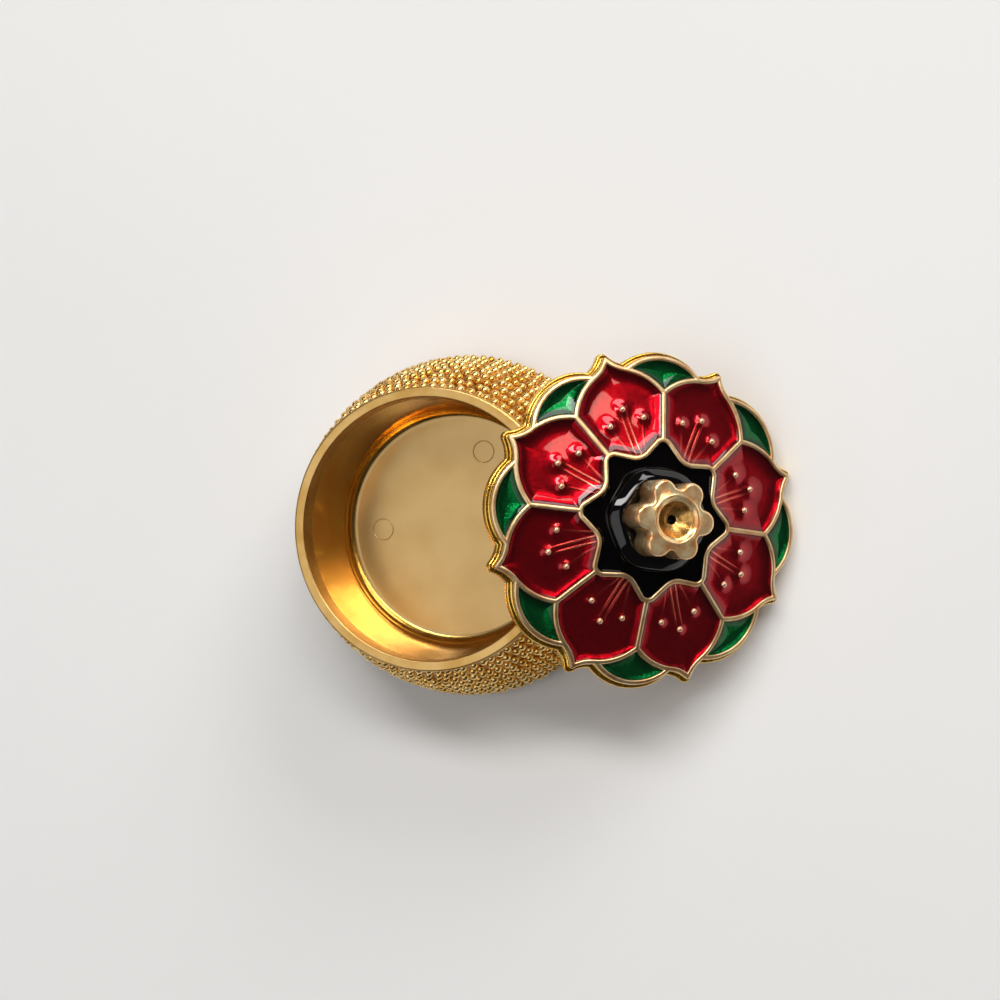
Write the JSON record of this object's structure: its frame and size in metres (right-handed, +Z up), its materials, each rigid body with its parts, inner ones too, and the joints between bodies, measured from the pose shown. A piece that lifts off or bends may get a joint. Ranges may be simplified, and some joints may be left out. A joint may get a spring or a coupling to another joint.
{
  "type": "kumkum box",
  "caption": "Small gold-plated round box for kumkum powder, with a granulated flared pot and a loose enamelled flower lid leaning on its rim.",
  "frame": {"origin": "centre of the pot's base, on the surface it stands on", "axes": "+Z up along the pot's axis, +X towards the leaning lid"},
  "size_m": [0.0655, 0.0448, 0.0254],
  "materials": {
    "pot_gold": "gold-plated casting, granulated outside, polished well, satin floor",
    "lid_gold": "gold-plated casting, rounded cell walls",
    "knob_gold": "antique gold plating, polished cup",
    "red_enamel": "translucent epoxy enamel, glossy",
    "green_enamel": "translucent epoxy enamel, glossy",
    "black_enamel": "opaque epoxy enamel, glossy"
  },
  "bodies": {
    "pot": {"pot": "pot_gold"},
    "lid": {"lid_casting": "lid_gold", "knob": "knob_gold", "star_enamel": "black_enamel", "petal_enamel_1": "red_enamel", "petal_enamel_2": "red_enamel", "petal_enamel_3": "red_enamel", "petal_enamel_4": "red_enamel", "petal_enamel_5": "red_enamel", "petal_enamel_6": "red_enamel", "petal_enamel_7": "red_enamel", "petal_enamel_8": "red_enamel", "leaf_enamel_1": "green_enamel", "leaf_enamel_2": "green_enamel", "leaf_enamel_3": "green_enamel", "leaf_enamel_4": "green_enamel", "leaf_enamel_5": "green_enamel", "leaf_enamel_6": "green_enamel", "leaf_enamel_7": "green_enamel", "leaf_enamel_8": "green_enamel"}
  },
  "joints": [
    {"name": "lid_lift", "type": "slide", "parent": "pot", "child": "lid", "axis": [0, 0, 1], "range_m": [0, 0.03]}
  ]
}
